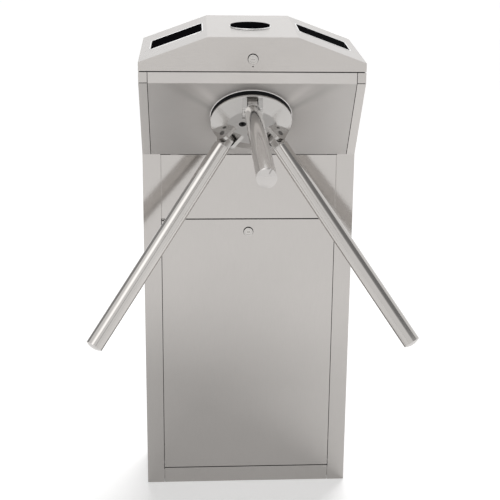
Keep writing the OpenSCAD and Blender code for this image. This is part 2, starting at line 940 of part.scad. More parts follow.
// Plate with cut corners, from low to high up the panel and from z0 to z1
module mech_plate(low, high, z0, z1) {
    cut = 15;
    translate([0, 0, z0]) linear_extrude(z1 - z0) polygon([
        [-mech_half, low + cut],
        [-mech_half + cut, low],
        [mech_half - cut, low],
        [mech_half, low + cut],
        [mech_half, high - cut],
        [mech_half - cut, high],
        [-mech_half + cut, high],
        [-mech_half, high - cut]
    ]);
}

// Front plate with bearing housing, posts, spring post and solenoid ledges, one casting
module mech_front_plate() {
    top = plate_front - plate_t / 2;
    color(cast) on_hub() difference() {
        union() {
            mech_plate(mech_low, front_high, plate_front - plate_t, plate_front);
            rod(boss_d, front_boss, top);
            for (sx = [-1, 1], y = post_rows)
                translate([sx * post_x, y, 0]) rod(post_d, plate_back + plate_t, top);
            translate([spring_x, crank_y, 0]) rod(spring_post_d, spring_z - 2.5, top);
            for (sx = [-1, 1])
                span([sx * 73 - 14, yoke_half, index_mid - 12], [sx * 73 + 14, yoke_half + 4, top]);
        }
        rod(shoulder_d, front_boss - 1, 1);
        rod(bearing_d, front_boss - 1, plate_front - plate_t);
        for (sx = [-1, 1], y = stud_rows)
            translate([sx * stud_x, y, 0]) rod(stud_d + 1, plate_front - plate_t - 1, 0);
        for (sx = [-1, 1], y = post_rows)
            translate([sx * post_x, y, 0]) rod(post_bolt_d, plate_back, plate_back + plate_t + 10);
        translate([0, crank_y, 0]) rod(spindle_d + 2 * run, plate_front - plate_t - 1, plate_front - 3);
    }
}

module mech_rear_plate() {
    color(cast) on_hub() difference() {
        union() {
            mech_plate(mech_low, rear_high, plate_back, plate_back + plate_t);
            rod(boss_d, plate_back + plate_t / 2, rear_boss);
        }
        rod(shoulder_d, plate_back - 1, rear_boss + 1);
        rod(bearing_d, rear_boss - bearing_w, rear_boss + 1);
        for (sx = [-1, 1], y = post_rows)
            translate([sx * post_x, y, 0]) rod(post_bolt_d, plate_back - 1, plate_back + plate_t + 1);
    }
}

// Nuts on the panel studs, and bolts through the rear plate into the posts
module mech_nuts() {
    nut_t = 6.5;
    color(zinc) on_hub() {
        for (sx = [-1, 1], y = stud_rows)
            translate([sx * stud_x, y, plate_front - plate_t - nut_t]) difference() {
                cylinder(d = 14, h = nut_t, $fn = 6);
                translate([0, 0, -1]) cylinder(d = stud_d + 2 * touch, h = nut_t + 2);
            }
        for (sx = [-1, 1], y = post_rows)
            translate([sx * post_x, y, plate_back]) rotate([180, 0, 0]) {
                cylinder(d = 11, h = 4, $fn = 6);
                rod(post_bolt_d - 2 * touch, -plate_t - 9, 2);
            }
    }
}

// A sealed ball bearing from z0 upwards, with the grooves of its seals
module bearing(z0) {
    groove = 0.8;
    in = shaft_d / 2 + run;
    out = bearing_d / 2 - touch;
    z1 = z0 + bearing_w;
    rotate_extrude($fn = 96) polygon([
        [in, z0],
        [in + 4, z0],
        [in + 4.5, z0 + groove],
        [out - 4.5, z0 + groove],
        [out - 4, z0],
        [out, z0],
        [out, z1],
        [out - 4, z1],
        [out - 4.5, z1 - groove],
        [in + 4.5, z1 - groove],
        [in + 4, z1],
        [in, z1]
    ]);
}

module shaft_bearings() {
    color(bright) on_hub() {
        bearing(plate_front - plate_t - bearing_w);
        bearing(rear_boss - bearing_w);
    }
}

key_w = 8;
key_out = shaft_d / 2 + 3;

// Shaft with the flange that carries the hub, and with its long key
module main_shaft() {
    color(zinc) on_hub() difference() {
        union() {
            rod(shaft_d, plate_back + 1, hub_ring_t + 3);
            rod(flange_d, hub_ring_t + 2, hub_lift);
            span([-key_w / 2, 0, index_z], [key_w / 2, key_out, gear_z + gear_w]);
        }
        for (i = [0 : 2])
            rotate([0, 0, 30 + 120 * i]) translate([bolt_circle_r, 0, 0])
                rod(hub_bolt_d, hub_ring_t + 1, hub_lift + 1);
    }
}

module shaft_nut() {
    color(zinc) on_hub() difference() {
        rod(shoulder_d - 4, plate_back, rear_boss - bearing_w - loose);
        rod(shaft_d + 2 * touch, plate_back - 1, rear_boss);
    }
}

// Bore and keyway for a wheel on the shaft
module keyed_bore(z0, z1) {
    rod(shaft_d + 2 * touch, z0 - 1, z1 + 1);
    span([-key_w / 2 - touch, 0, z0 - 1], [key_w / 2 + touch, key_out + touch, z1 + 1]);
}

// Half the angle of an involute tooth at radius r, for the pitch radius pr
pressure = 20;
backlash = 0.3;
function involute(a) = tan(a) * 180 / PI - a;
function half_tooth(r, pr, teeth) =
    90 / teeth - backlash / 4 / pr * 180 / PI + involute(pressure) - involute(acos(pr * cos(pressure) / r));
function polar(r, a) = [r * cos(a), r * sin(a)];

// Outline of a gear with one tooth on the X axis
module gear_2d(teeth) {
    pr = gear_module * teeth / 2;
    root = pr - 1.25 * gear_module;
    low = max(pr * cos(pressure) + 0.01, root + 0.1);
    tip = pr + 0.95 * gear_module;
    radii = [low, pr, tip];
    polygon([
        for (k = [0 : teeth - 1])
            let (c = k * 360 / teeth)
                each concat(
                    [polar(root, c - half_tooth(low, pr, teeth))],
                    [for (r = radii) polar(r, c - half_tooth(r, pr, teeth))],
                    [for (j = [2 : -1 : 0]) polar(radii[j], c + half_tooth(radii[j], pr, teeth))],
                    [polar(root, c + half_tooth(low, pr, teeth))]
                )
    ]);
}

module shaft_gear() {
    color(zinc) on_hub() difference() {
        translate([0, 0, gear_z]) linear_extrude(gear_w) rotate(-90) gear_2d(gear_teeth);
        keyed_bore(gear_z, gear_z + gear_w);
    }
}

// Disc with six notches, which the lock bolts enter
module index_disc() {
    color(zinc) on_hub() difference() {
        rod(2 * index_r, index_z, index_z + index_t);
        for (i = [0 : 5])
            rotate([0, 0, 60 * i])
                span([index_r - notch_depth, -bolt_d / 2 - 0.5, index_z - 1],
                    [index_r + 1, bolt_d / 2 + 0.5, index_z + index_t + 1]);
        keyed_bore(index_z, index_z + index_t);
    }
}

encoder_r = 30;
encoder_z = index_z - 8;

module encoder_disc() {
    slots = 24;
    color(bright) on_hub() difference() {
        union() {
            rod(2 * encoder_r, encoder_z, encoder_z + 1.5);
            rod(shaft_d + 10, encoder_z, encoder_z + 8);
        }
        rod(shaft_d + 2 * touch, encoder_z - 1, encoder_z + 9);
        for (i = [0 : slots - 1])
            rotate([0, 0, i * 360 / slots])
                span([encoder_r - 5, -1, encoder_z - 1], [encoder_r + 1, 1, encoder_z + 2]);
    }
}

// Fork that reads the slotted disc, on a leg from the rear plate
module encoder_sensor() {
    color(black) on_hub() difference() {
        union() {
            span([-8, 24, encoder_z - 6], [8, 46, encoder_z + 7]);
            span([-8, 40, plate_back + plate_t], [8, 46, encoder_z - 5]);
        }
        span([-9, 23, encoder_z - 2], [9, 34, encoder_z + 3.5]);
    }
}

// Pinion, spindle, disc and crank pin, one piece that turns three times as fast as the hub
module centring_crank() {
    color(zinc) on_hub() translate([0, crank_y, 0]) {
        translate([0, 0, gear_z]) linear_extrude(gear_w)
            rotate(90 + 180 / pinion_teeth) gear_2d(pinion_teeth);
        rod(spindle_d, crank_z, plate_front - 3.5);
        rod(28, crank_z, crank_z + crank_disc_t);
        translate([crank_r, 0, 0]) rod(crank_pin_d, spring_z - 2.5, crank_z + 1);
    }
}

// Tension spring from the crank pin to its post
module centring_spring() {
    color(bright) on_hub() translate([0, crank_y, 0]) {
        translate([crank_r, 0, 0]) ring(crank_pin_d + 5, crank_pin_d + 0.6, spring_z - 1, spring_z + 1);
        translate([spring_x, 0, 0]) ring(spring_post_d + 5, spring_post_d + 0.6, spring_z - 1, spring_z + 1);
        translate([0, 0, spring_z]) {
            rod_x(1.4, crank_r + 4, crank_r + 12);
            rod_x(7, crank_r + 11, spring_x - 10);
            rod_x(1.4, spring_x - 11, spring_x - 4.3);
        }
    }
}

module rotary_damper() {
    z1 = plate_front - plate_t;
    color(black) on_hub() translate([0, crank_y, 0])
        ring(damper_d, spindle_d + 2 * run, z1 - damper_t, z1);
}

// Coils in their yokes, one for each lock bolt
module solenoids() {
    color(black) on_hub() translate([0, 0, index_mid]) for (sx = [0, 1])
        mirror([sx, 0, 0]) difference() {
            union() {
                span([yoke_in, -yoke_half, -13], [yoke_in + yoke_t, yoke_half, 13]);
                span([yoke_out - yoke_t, -yoke_half, -13], [yoke_out, yoke_half, 13]);
                span([yoke_in, yoke_half - yoke_t, -13], [yoke_out, yoke_half, 13]);
                rod_x(21, yoke_in + yoke_t / 2, yoke_out - yoke_t / 2);
            }
            rod_x(bolt_d + 2 * run, yoke_in - 1, yoke_out + 1);
        }
}

// Lock bolt, drawn for the right-hand side
module lock_bolt() {
    color(bright) on_hub() translate([0, 0, index_mid]) {
        rod_x(bolt_d, index_r + bolt_rest, yoke_out + notch_depth + 3);
        rod_x(bolt_d + 6, yoke_out + notch_depth + 1, yoke_out + notch_depth + 4);
    }
}

module left_lock_bolt() {
    mirror([1, 0, 0]) lock_bolt();
}

module right_lock_bolt() {
    lock_bolt();
}

// Equipment in the pedestal, on a tray on the back panel

tray_half = 125;
tray_out = 15;
tray_low = 240;
tray_high = 570;
tray_y = back_y - sheet - tray_out;

module equipment_tray() {
    color(zinc) {
        span([-tray_half, tray_y, tray_low], [tray_half, tray_y + sheet, tray_high]);
        for (z = [tray_low, tray_high - sheet])
            span([-tray_half, tray_y, z], [tray_half, back_y - sheet, z + sheet]);
    }
}

module control_board() {
    board_y = tray_y - 8;
    board_x = 13 - tray_half;
    board_z = tray_high - 170;
    color(board_green) {
        span([board_x, board_y, board_z], [board_x + 200, board_y + 1.6, board_z + 155]);
        for (x = [8, 192], z = [8, 147])
            translate([board_x + x, tray_y, board_z + z]) rotate([90, 0, 0]) rod(6, 0, 7);
        for (x = [12 : 22 : 168])
            span([board_x + x, board_y - 10, board_z + 2], [board_x + x + 20, board_y, board_z + 14]);
        span([board_x + 52, board_y - 2.5, board_z + 70], [board_x + 78, board_y, board_z + 96]);
        span([board_x + 122, board_y - 4, board_z + 100], [board_x + 146, board_y, board_z + 124]);
        for (x = [92, 112, 172])
            translate([board_x + x, board_y, board_z + 50]) rotate([90, 0, 0]) rod(12, -1, 18);
    }
}

module power_supply() {
    unit_x = 15 - tray_half;
    unit_z = tray_low + 22;
    color(bright) {
        span([unit_x, tray_y - 38, unit_z], [unit_x + 130, tray_y, unit_z + 106]);
        span([unit_x + 10, tray_y - 30, unit_z + 106], [unit_x + 120, tray_y - 6, unit_z + 116]);
    }
}

module battery() {
    color(black) {
        span([-140, -24, base_t], [11, 41, base_t + 94]);
        for (x = [-128, -10])
            span([x, -4, base_t + 94], [x + 8, 8, base_t + 100]);
    }
}

base_plate();
cable_grommet();
left_side();
right_side();
back_panel();
front_panel();
kick_strip();
hub_panel();
cabinet_screws();
lid_gasket();
door_hinge_brackets();
door_hinge_pins();
service_door();
door_lock_body();
door_lock_barrel();
lid();
lid_windows();
card_readers();
indicator_lens();
indicator_board();
lid_lock_body();
lid_lock_barrel();
lid_hinge_leaves();
lid_hinge_straps();
lid_hinge_pins();
hub_ring();
hub_seal();
hub_body();
hub_bolts();
arm_pins();
arm_1_tongue();
arm_1_tube();
arm_1_cap();
arm_2_tongue();
arm_2_tube();
arm_2_cap();
arm_3_tongue();
arm_3_tube();
arm_3_cap();
main_shaft();
shaft_nut();
shaft_bearings();
mech_front_plate();
mech_rear_plate();
mech_nuts();
shaft_gear();
index_disc();
encoder_disc();
encoder_sensor();
centring_crank();
centring_spring();
rotary_damper();
solenoids();
left_lock_bolt();
right_lock_bolt();
equipment_tray();
control_board();
power_supply();
battery();
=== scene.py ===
"""Looks of the tripod turnstile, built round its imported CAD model. Metres, +Z up, -Y is the passage side."""

import math

import bmesh
import bpy
from mathutils import Matrix, Vector


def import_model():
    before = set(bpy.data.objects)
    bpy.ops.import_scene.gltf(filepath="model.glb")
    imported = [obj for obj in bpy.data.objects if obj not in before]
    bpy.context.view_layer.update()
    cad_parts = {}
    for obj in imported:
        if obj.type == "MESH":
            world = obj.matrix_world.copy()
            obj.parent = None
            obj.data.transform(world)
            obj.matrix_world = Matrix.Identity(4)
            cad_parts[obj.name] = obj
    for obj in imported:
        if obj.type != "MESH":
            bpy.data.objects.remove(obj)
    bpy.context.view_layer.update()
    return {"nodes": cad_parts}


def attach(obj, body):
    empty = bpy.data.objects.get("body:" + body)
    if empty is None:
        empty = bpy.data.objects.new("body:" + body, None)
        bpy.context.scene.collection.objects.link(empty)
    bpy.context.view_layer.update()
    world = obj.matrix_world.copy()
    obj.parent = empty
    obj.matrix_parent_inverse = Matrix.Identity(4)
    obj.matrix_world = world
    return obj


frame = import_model()
nodes = frame["nodes"]
scene = bpy.context.scene

# Sizes shared with the CAD model
TILT = math.radians(37.5)
HUB = Vector((0.0, -0.145399, 0.814629))
AXIS = Vector((0.0, -math.cos(TILT), -math.sin(TILT)))
UP_PANEL = Vector((0.0, -math.sin(TILT), math.cos(TILT)))
HALF_W, HEAD_Y, PEDESTAL_Y = 0.210, -0.204, -0.076
TOP_Z, SEAM_Z, LIP_Z = 0.976, 0.912, 0.891
LID_FLAT, LID_EDGE = 0.082, 0.017
LID_SLOPE = math.atan((TOP_Z - SEAM_Z - LID_EDGE) / (HALF_W - LID_FLAT))
SLOPE_LEN = math.hypot(TOP_Z - SEAM_Z - LID_EDGE, HALF_W - LID_FLAT)
WINDOW = Vector((0.103, 0.100))
WINDOW_R, WINDOW_BACK, WINDOW_IN = 0.005, 0.144, 0.005
LENS_R, LENS_BACK = 0.038, 0.134
LOCK_R, LID_LOCK_Z, DOOR_LOCK_Z = 0.009, 0.9355, 0.563

# The photo's frame: its width and the camera's focal length and centre, in pixels
PHOTO_W, FOCAL, CENTRE = 500, 1244.0, (285, 228)

# Where the camera stands, and its turn to the right, its tilt down and its roll, in degrees
CAMERA_AT = (-0.1085, -2.4640, 1.3325)
CAMERA_TURN = (4.37, 17.65, 1.06)
SENSOR_W = 36.0
CLIP_END = 60.0

# Colours of the sheets, one for each part of the cabinet, set so that they render close to the photo's tones.
# They are one steel: the lid's is lighter, a painted light, and the slanted panel's darker, a painted shade
SHEET = (0.520, 0.498, 0.480)
LID = (0.540, 0.515, 0.495)
PANEL = (0.466, 0.447, 0.432)

# Grain of ground metal, long along one axis, and of polished, turned, dull and cast metal, even all round
ALONG_Z = (1.0, 1.0, 0.02)
ALONG_X = (0.02, 1.0, 1.0)
POLISHED = (0.6, 0.6, 0.6)
TURNED = (0.5, 0.5, 0.5)
DULL = (0.2, 0.2, 0.2)
CAST = (0.12, 0.12, 0.12)
# Its lines to the metre across the grain, and the tone of their dark sides
GRAIN_LINES = 2200
GRAIN_DARK = (0.30, 0.29, 0.28)

# Painted reflection and shade: tones that the sheets show in the photo, where they are at least partly
# reflections, are painted here as shares of the colour, so they stay in place as the view turns. The pedestal
# is darker towards its foot, a painted shade, and the flat top and the upright lip are lighter than the slopes
# and the slanted panel that they join, a painted reflection. Each has two heights and the share of the colour
# at each.
FOOT_SHADE_RISE = (0.0, 0.42, 0.82, 1.0)
TOP_LIGHT_RISE = (TOP_Z - 0.0008, TOP_Z - 0.0002, 1.0, 1.13)
LIP_LIGHT_RISE = (LIP_Z - 0.002, LIP_Z, 1.0, 1.22)

# The satin zone round the hub: its centre, where it starts and ends, the roughness added, and the share of
# the colour, which is painted light: it makes the zone lighter round the hub
SATIN_AND_PAINTED_LIGHT = (HUB, 0.076, 0.170, (0.34, 0.0), (1.20, 1.0))

# Light and dark fans on the slanted panel, which are painted reflections as well: angles in degrees from
# straight up the panel with the tone at each, where 0.5 changes nothing, and how much they change the colour
FANS = ((0, 0.5), (31, 0.45), (38.5, 0.84), (44, 0.5), (48, 0.2), (54, 0.5), (180, 0.5))
FAN_SWING = 0.24
# They meet in a point this far under the hub's middle, fade between two distances from the hub, and end
# between two heights over that point, at the fold to the upright lip
FAN_DROP = 0.043
FAN_FADE = (0.09, 0.25)
FAN_END = (0.1375, 0.1387)

# Trims: how far they stand off what they frame, how deep their foot is sunk, the share of the height that is
# upright, and the width and height of each strip
TRIM_OFF = 0.0006
TRIM_SUNK = 0.0003
TRIM_UPRIGHT = 0.3
WINDOW_BEAD = (0.0024, 0.0009)
LENS_BEAD = (0.0022, 0.0012)
# The dark rings round the locks are painted shade over each lock
SHADE_RING = (0.0024, 0.0011)
SHADE_RING_IN = 0.0002
LENS_STEPS = 96
SHADE_RING_STEPS = 48
RIVET_DROP = 0.0135
RIVET_OUTLINE = ((0.0, 0.0009), (0.0007, 0.0008), (0.0012, 0.0004), (0.0014, -0.0003))
RIVET_STEPS = 16


# Camera: the photo's view, fitted to the edges of the cabinet and the arms


def place_camera():
    data = bpy.data.cameras.new("camera")
    cam = bpy.data.objects.new("camera", data)
    scene.collection.objects.link(cam)
    yaw, pitch, roll = (math.radians(a) for a in CAMERA_TURN)
    ahead = Vector((math.sin(yaw) * math.cos(pitch), math.cos(yaw) * math.cos(pitch), -math.sin(pitch)))
    side = Vector((math.cos(yaw), -math.sin(yaw), 0.0))
    above = side.cross(ahead)
    right = side * math.cos(roll) + above * math.sin(roll)
    up = above * math.cos(roll) - side * math.sin(roll)
    cam.matrix_world = Matrix(
        (
            (right.x, up.x, -ahead.x, CAMERA_AT[0]),
            (right.y, up.y, -ahead.y, CAMERA_AT[1]),
            (right.z, up.z, -ahead.z, CAMERA_AT[2]),
            (0, 0, 0, 1),
        )
    )
    data.sensor_width = SENSOR_W
    data.lens = FOCAL / PHOTO_W * SENSOR_W
    data.shift_x = 0.5 - CENTRE[0] / PHOTO_W
    data.shift_y = CENTRE[1] / PHOTO_W - 0.5
    data.clip_end = CLIP_END
    scene.camera = cam


# Materials


class Shader:
    """A material with one Principled shader, and short calls for the nodes that feed it."""

    def __init__(self, name):
        self.mat = bpy.data.materials.new(name)
        self.mat.use_nodes = True
        self.tree = self.mat.node_tree
        self.out = self.tree.nodes["Material Output"]
        self.bsdf = self.tree.nodes["Principled BSDF"]

    def node(self, kind, **values):
        n = self.tree.nodes.new(kind)
        for k, v in values.items():
            setattr(n, k, v)
        return n

    def link(self, a, b):
        self.tree.links.new(a, b)

    def place(self, scale=(1, 1, 1), turn=None):
        """Object coordinates, turned and then scaled."""
        out = self.node("ShaderNodeTexCoord").outputs["Object"]
        if turn is not None:
            m = self.node("ShaderNodeMapping")
            m.inputs["Rotation"].default_value = turn
            self.link(out, m.inputs["Vector"])
            out = m.outputs["Vector"]
        m = self.node("ShaderNodeMapping")
        m.inputs["Scale"].default_value = scale
        self.link(out, m.inputs["Vector"])
        return m.outputs["Vector"]

    def noise(self, where, scale, detail=3.0, rough=0.5):
        n = self.node("ShaderNodeTexNoise")
        n.inputs["Scale"].default_value = scale
        n.inputs["Detail"].default_value = detail
        n.inputs["Roughness"].default_value = rough
        self.link(where, n.inputs["Vector"])
        return n.outputs["Fac"]

    def remap(self, value, low, high, to_low, to_high, kind="LINEAR"):
        n = self.node("ShaderNodeMapRange", interpolation_type=kind)
        for k, v in (("From Min", low), ("From Max", high), ("To Min", to_low), ("To Max", to_high)):
            n.inputs[k].default_value = v
        self.link(value, n.inputs["Value"])
        return n.outputs["Result"]

    def math(self, op, a, b):
        n = self.node("ShaderNodeMath", operation=op)
        for i, v in enumerate((a, b)):
            if isinstance(v, (int, float)):
                n.inputs[i].default_value = v
            else:
                self.link(v, n.inputs[i])
        return n.outputs[0]

    def mix(self, fac, a, b, blend="MIX"):
        n = self.node("ShaderNodeMix", data_type="RGBA", blend_type=blend)
        for i, v in ((0, fac), (6, a), (7, b)):
            if isinstance(v, (int, float)):
                n.inputs[i].default_value = v
            elif isinstance(v, tuple):
                n.inputs[i].default_value = (*v, 1.0)
            else:
                self.link(v, n.inputs[i])
        return n.outputs[2]

    def fan_share(self, distance):
        """The share of the colour in the light and dark fans, a painted reflection, alike on both sides of the
        hub.
        """
        arm = self.node("ShaderNodeVectorMath", operation="SUBTRACT")
        self.link(self.place(), arm.inputs[0])
        arm.inputs[1].default_value = HUB - UP_PANEL * FAN_DROP
        split = self.node("ShaderNodeSeparateXYZ")
        self.link(arm.outputs["Vector"], split.inputs[0])
        height = self.node("ShaderNodeVectorMath", operation="DOT_PRODUCT")
        self.link(arm.outputs["Vector"], height.inputs[0])
        height.inputs[1].default_value = UP_PANEL
        angle = self.math("ARCTAN2", self.math("ABSOLUTE", split.outputs["X"], 0.0), height.outputs["Value"])
        ramp = self.node("ShaderNodeValToRGB")
        ramp.color_ramp.interpolation = "EASE"
        self.link(self.remap(angle, 0.0, math.pi, 0.0, 1.0), ramp.inputs["Fac"])
        stops = ramp.color_ramp.elements
        for degrees, _ in FANS[1:-1]:
            stops.new(degrees / 180)
        for stop, (_, tone) in zip(stops, FANS):
            stop.color = (tone, tone, tone, 1)
        swing = self.remap(ramp.outputs["Color"], 0.0, 1.0, -FAN_SWING, FAN_SWING)
        swing = self.math("MULTIPLY", swing, self.remap(distance, *FAN_FADE, 1.0, 0.0))
        swing = self.math("MULTIPLY", swing, self.remap(height.outputs["Value"], *FAN_END, 1.0, 0.0))
        return self.math("ADD", swing, 1.0)

    def bump(self, height, distance):
        n = self.node("ShaderNodeBump")
        n.inputs["Strength"].default_value = 1.0
        n.inputs["Distance"].default_value = distance
        self.link(height, n.inputs["Height"])
        self.link(n.outputs["Normal"], self.bsdf.inputs["Normal"])


def metal(
    name,
    colour,
    rough,
    grain=(1.0, 1.0, 1.0),
    turn=None,
    line=0.000004,
    spread=0.06,
    stain=0.05,
    rise=None,
    satin=None,
    fans=False,
):
    """Ground or polished metal. The grain runs along the axis with the small scale.

    rise gives two heights and the share of the colour at each.
    satin gives a centre, two distances from it, and the roughness added and the share of the colour at each;
    the share is painted light.
    fans adds the light and dark fans, a painted reflection, to a satin zone.
    """
    s = Shader(name)
    fine = s.noise(s.place(tuple(GRAIN_LINES * g for g in grain), turn), 1.0, 2.0, 0.6)
    broad = s.noise(s.place(), 3.2, 4.0, 0.55)
    marks = s.noise(s.place(), 38.0, 5.0, 0.65)
    dark = tuple(c * (1 - stain) for c in colour)
    lite = tuple(min(1.0, c * (1 + stain)) for c in colour)
    base = s.mix(s.remap(broad, 0.35, 0.65, 0.0, 1.0), dark, lite)
    base = s.mix(s.remap(fine, 0.3, 0.7, 0.0, 0.10), base, GRAIN_DARK)
    if rise:
        split = s.node("ShaderNodeSeparateXYZ")
        s.link(s.place(), split.inputs[0])
        base = s.mix(1.0, base, s.remap(split.outputs["Z"], *rise), "MULTIPLY")
    if satin:
        centre, near, far, added, shares = satin
        span = s.node("ShaderNodeVectorMath", operation="DISTANCE")
        s.link(s.place(), span.inputs[0])
        span.inputs[1].default_value = centre
        reach = span.outputs["Value"]
        base = s.mix(1.0, base, s.remap(reach, near, far, *shares, "SMOOTHERSTEP"), "MULTIPLY")
        if fans:
            base = s.mix(1.0, base, s.fan_share(reach), "MULTIPLY")
    s.link(base, s.bsdf.inputs["Base Color"])
    wear = s.math("MULTIPLY", s.remap(marks, 0.45, 0.75, 0.0, 1.0), spread)
    low = s.math("ADD", s.remap(fine, 0.3, 0.7, rough - spread / 2, rough + spread / 2), wear)
    if satin:
        low = s.math("ADD", low, s.remap(reach, near, far, *added, "SMOOTHERSTEP"))
    s.link(low, s.bsdf.inputs["Roughness"])
    s.bsdf.inputs["Metallic"].default_value = 1.0
    s.bump(fine, line)
    return s.mat


def plastic(name, colour, rough, grain=260.0, depth=0.00002, spread=0.05, ior=1.45):
    """Moulded plastic, rubber or paint, with a fine grain and a little dust.

    An ior below the real one makes it mirror less, which keeps the windows, the lens, the seal and the bolts
    dark.
    """
    s = Shader(name)
    s.bsdf.inputs["IOR"].default_value = ior
    cells = s.noise(s.place(), grain, 3.0, 0.6)
    dust = s.noise(s.place(), 14.0, 5.0, 0.6)
    lite = tuple(c * 1.5 + 0.001 for c in colour)
    s.link(s.mix(s.remap(dust, 0.45, 0.8, 0.0, 1.0), colour, lite), s.bsdf.inputs["Base Color"])
    s.link(s.remap(dust, 0.3, 0.75, rough - spread / 2, rough + spread), s.bsdf.inputs["Roughness"])
    s.bump(cells, depth)
    return s.mat


def arm_turn(i):
    """Rotation that brings the axis of arm i on to Z, as the Mapping node's angles."""
    turned = Matrix.Rotation(math.radians(120 * i), 3, AXIS) @ Vector((0.0, -1.0, 0.0))
    return turned.rotation_difference(Vector((0, 0, 1))).to_euler()


sheet_finish = {"stain": 0.02, "spread": 0.03}
# The rise, satin and fans of these sheets paint light and shade into their colour
pedestal_steel = metal("pedestal_steel", SHEET, 0.10, ALONG_Z, rise=FOOT_SHADE_RISE, **sheet_finish)
lid_steel = metal("lid_steel", LID, 0.24, ALONG_X, rise=TOP_LIGHT_RISE, **sheet_finish)
panel_steel = metal(
    "panel_steel", PANEL, 0.29, ALONG_X, rise=LIP_LIGHT_RISE, satin=SATIN_AND_PAINTED_LIGHT, fans=True, **sheet_finish
)
hub_metal = metal("hub_metal", (0.50, 0.485, 0.47), 0.15, POLISHED, line=0.000003, spread=0.05)
ring_metal = metal("ring_metal", (0.72, 0.70, 0.69), 0.14, POLISHED, line=0.000002, spread=0.04)
cap_metal = metal("cap_metal", (0.58, 0.56, 0.545), 0.15, POLISHED, line=0.000001, spread=0.02)
pin_metal = metal("pin_metal", (0.16, 0.155, 0.15), 0.22, TURNED, line=0.000003)
oxide = plastic("oxide", (0.010, 0.010, 0.011), 0.38, 500.0, 0.00001, ior=1.3)
lock_metal = metal("lock_metal", (0.58, 0.56, 0.54), 0.2, TURNED, line=0.000003)
zinc = metal("zinc", (0.60, 0.61, 0.60), 0.34, DULL, line=0.000006, spread=0.10, stain=0.10)
machined = metal("machined", (0.50, 0.50, 0.50), 0.28, TURNED, line=0.000005, spread=0.08)
casting = metal("casting", (0.55, 0.55, 0.55), 0.42, CAST, line=0.00004, spread=0.10, stain=0.12)
coil = metal("coil", (0.20, 0.20, 0.21), 0.45, DULL, line=0.00001)
# The tube of the level arm has a lighter colour than the other two, because with theirs it renders darker
# than it is in the photo. The three are one steel, so the lighter colour is painted light
tube_tones = ((0.66, 0.64, 0.62), (0.54, 0.52, 0.50), (0.54, 0.52, 0.50))
tubes = [
    metal("tube_%d" % (i + 1), tone, 0.09, ALONG_Z, arm_turn(i), spread=0.03)
    for i, tone in enumerate(tube_tones)
]
bead_metal = metal("bead_metal", (0.97, 0.97, 0.965), 0.12, POLISHED, line=0.000002, spread=0.04, stain=0.01)
rubber = plastic("rubber", (0.006, 0.006, 0.007), 0.62, 420.0, 0.00003, ior=1.2)
acrylic = plastic("acrylic", (0.001, 0.001, 0.0015), 0.12, 60.0, 0.000002, 0.05, ior=1.002)
moulded = plastic("moulded", (0.03, 0.03, 0.032), 0.48, 700.0, 0.00003)
board = plastic("board", (0.02, 0.16, 0.06), 0.35, 300.0, 0.00001)

WEARS = {
    pedestal_steel: ["left_side", "right_side", "back_panel", "front_panel", "kick_strip", "service_door"],
    lid_steel: ["lid"],
    panel_steel: ["hub_panel"],
    hub_metal: ["hub_body", "arm_1_tongue", "arm_2_tongue", "arm_3_tongue"],
    pin_metal: ["arm_pins"],
    oxide: ["hub_bolts"],
    ring_metal: ["hub_ring"],
    cap_metal: ["arm_1_cap", "arm_2_cap", "arm_3_cap"],
    lock_metal: ["door_lock_body", "door_lock_barrel", "lid_lock_body", "lid_lock_barrel"],
    zinc: [
        "base_plate",
        "cabinet_screws",
        "door_hinge_brackets",
        "door_hinge_pins",
        "lid_hinge_leaves",
        "lid_hinge_straps",
        "lid_hinge_pins",
        "mech_nuts",
        "shaft_nut",
        "equipment_tray",
        "power_supply",
    ],
    machined: [
        "main_shaft",
        "shaft_bearings",
        "shaft_gear",
        "index_disc",
        "centring_crank",
        "left_lock_bolt",
        "right_lock_bolt",
        "centring_spring",
        "encoder_disc",
    ],
    casting: ["mech_front_plate", "mech_rear_plate"],
    coil: ["solenoids"],
    tubes[0]: ["arm_1_tube"],
    tubes[1]: ["arm_2_tube"],
    tubes[2]: ["arm_3_tube"],
    rubber: ["cable_grommet", "lid_gasket", "hub_seal"],
    acrylic: ["lid_windows", "indicator_lens"],
    moulded: ["card_readers", "encoder_sensor", "rotary_damper", "battery"],
    board: ["indicator_board", "control_board"],
}

# Radius of the folded or broken edges of a node
EDGES = {
    "left_side": 0.0009,
    "right_side": 0.0009,
    "front_panel": 0.0005,
    "service_door": 0.0007,
    "kick_strip": 0.0005,
    "back_panel": 0.0005,
    "hub_panel": 0.0009,
    "lid": 0.0009,
    "arm_1_tongue": 0.0007,
    "arm_2_tongue": 0.0007,
    "arm_3_tongue": 0.0007,
    "lid_windows": 0.0003,
    "indicator_lens": 0.0004,
    "door_lock_body": 0.0005,
    "lid_lock_body": 0.0005,
    "door_lock_barrel": 0.0003,
    "lid_lock_barrel": 0.0003,
    "mech_front_plate": 0.0008,
    "mech_rear_plate": 0.0008,
    "base_plate": 0.0006,
    "battery": 0.002,
    "power_supply": 0.0008,
    "hub_bolts": 0.0005,
}


# Points closer than this are joined, faces flatter than this are one, and edges sharper than this are rounded
WELD = 0.00001
FLAT_ANGLE = math.radians(0.3)
EDGE_ANGLE = math.radians(28)


def dress():
    for mat, names in WEARS.items():
        for name in names:
            slots = nodes[name].data.materials
            slots.clear()
            slots.append(mat)
    for name, width in EDGES.items():
        o = nodes[name]
        weld = o.modifiers.new("weld", "WELD")
        weld.merge_threshold = WELD
        flat = o.modifiers.new("flat", "DECIMATE")
        flat.decimate_type = "DISSOLVE"
        flat.angle_limit = FLAT_ANGLE
        bevel = o.modifiers.new("edges", "BEVEL")
        bevel.width = width
        bevel.segments = 2
        bevel.limit_method = "ANGLE"
        bevel.angle_limit = EDGE_ANGLE
        bevel.use_clamp_overlap = True
        o.modifiers.new("shade", "WEIGHTED_NORMAL")


# Small trims on the lid and the door


